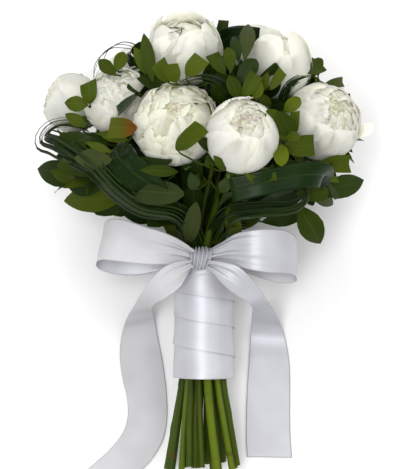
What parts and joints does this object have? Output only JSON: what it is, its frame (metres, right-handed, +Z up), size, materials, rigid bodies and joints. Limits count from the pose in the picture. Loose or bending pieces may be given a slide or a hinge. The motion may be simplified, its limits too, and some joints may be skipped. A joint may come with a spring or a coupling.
{
  "type": "bunch of peonies",
  "caption": "Hand-tied bunch of white peonies with leafy sprigs, folded strap leaves and looped grass, wrapped and bowed in satin ribbon, lying on its back.",
  "frame": {"origin": "centre of the footprint of the lying bunch, on the surface it rests on", "axes": "+Y from the cut stem ends towards the blooms, +Z up, away from the surface, +X to the right seen from above with the blooms at the top"},
  "size_m": [0.3022, 0.4214, 0.2504],
  "materials": {
    "guard_petals": "soft matte",
    "inner_petals": "soft matte",
    "peony_stems": "waxy green",
    "leafy_sprigs": "satin leaf",
    "strap_leaves": "glossy leaf",
    "grass": "satin leaf",
    "satin_ribbon": "satin",
    "binding_tape": "matte tape"
  },
  "bodies": {
    "root": {"binding_tie": "binding_tape", "bow_knot": "satin_ribbon", "bow_loop_left": "satin_ribbon", "bow_loop_right": "satin_ribbon", "grass_loop_01": "grass", "grass_loop_02": "grass", "grass_loop_03": "grass", "grass_loop_04": "grass", "peony_01_guard_petals": "guard_petals", "peony_01_inner_petals": "inner_petals", "peony_01_stem": "peony_stems", "peony_02_guard_petals": "guard_petals", "peony_02_inner_petals": "inner_petals", "peony_02_stem": "peony_stems", "peony_03_guard_petals": "guard_petals", "peony_03_inner_petals": "inner_petals", "peony_03_stem": "peony_stems", "peony_04_guard_petals": "guard_petals", "peony_04_inner_petals": "inner_petals", "peony_04_stem": "peony_stems", "peony_05_guard_petals": "guard_petals", "peony_05_inner_petals": "inner_petals", "peony_05_stem": "peony_stems", "peony_06_guard_petals": "guard_petals", "peony_06_inner_petals": "inner_petals", "peony_06_stem": "peony_stems", "peony_07_guard_petals": "guard_petals", "peony_07_inner_petals": "inner_petals", "peony_07_stem": "peony_stems", "peony_08_guard_petals": "guard_petals", "peony_08_inner_petals": "inner_petals", "peony_08_stem": "peony_stems", "peony_09_guard_petals": "guard_petals", "peony_09_inner_petals": "inner_petals", "peony_09_stem": "peony_stems", "peony_10_guard_petals": "guard_petals", "peony_10_inner_petals": "inner_petals", "peony_10_stem": "peony_stems", "peony_11_guard_petals": "guard_petals", "peony_11_inner_petals": "inner_petals", "peony_11_stem": "peony_stems", "ribbon_tail_left": "satin_ribbon", "ribbon_tail_right": "satin_ribbon", "ribbon_wrap": "satin_ribbon", "sprig_01_leaves_and_stem": "leafy_sprigs", "sprig_02_leaves_and_stem": "leafy_sprigs", "sprig_03_leaves_and_stem": "leafy_sprigs", "sprig_04_leaves_and_stem": "leafy_sprigs", "sprig_05_leaves_and_stem": "leafy_sprigs", "sprig_06_leaves_and_stem": "leafy_sprigs", "sprig_07_leaves_and_stem": "leafy_sprigs", "sprig_08_leaves_and_stem": "leafy_sprigs", "sprig_09_leaves_and_stem": "leafy_sprigs", "sprig_10_leaves_and_stem": "leafy_sprigs", "sprig_11_leaves_and_stem": "leafy_sprigs", "strap_leaf_01": "strap_leaves", "strap_leaf_02": "strap_leaves", "strap_leaf_03": "strap_leaves", "strap_leaf_04": "strap_leaves", "strap_leaf_05": "strap_leaves"}
  },
  "joints": []
}
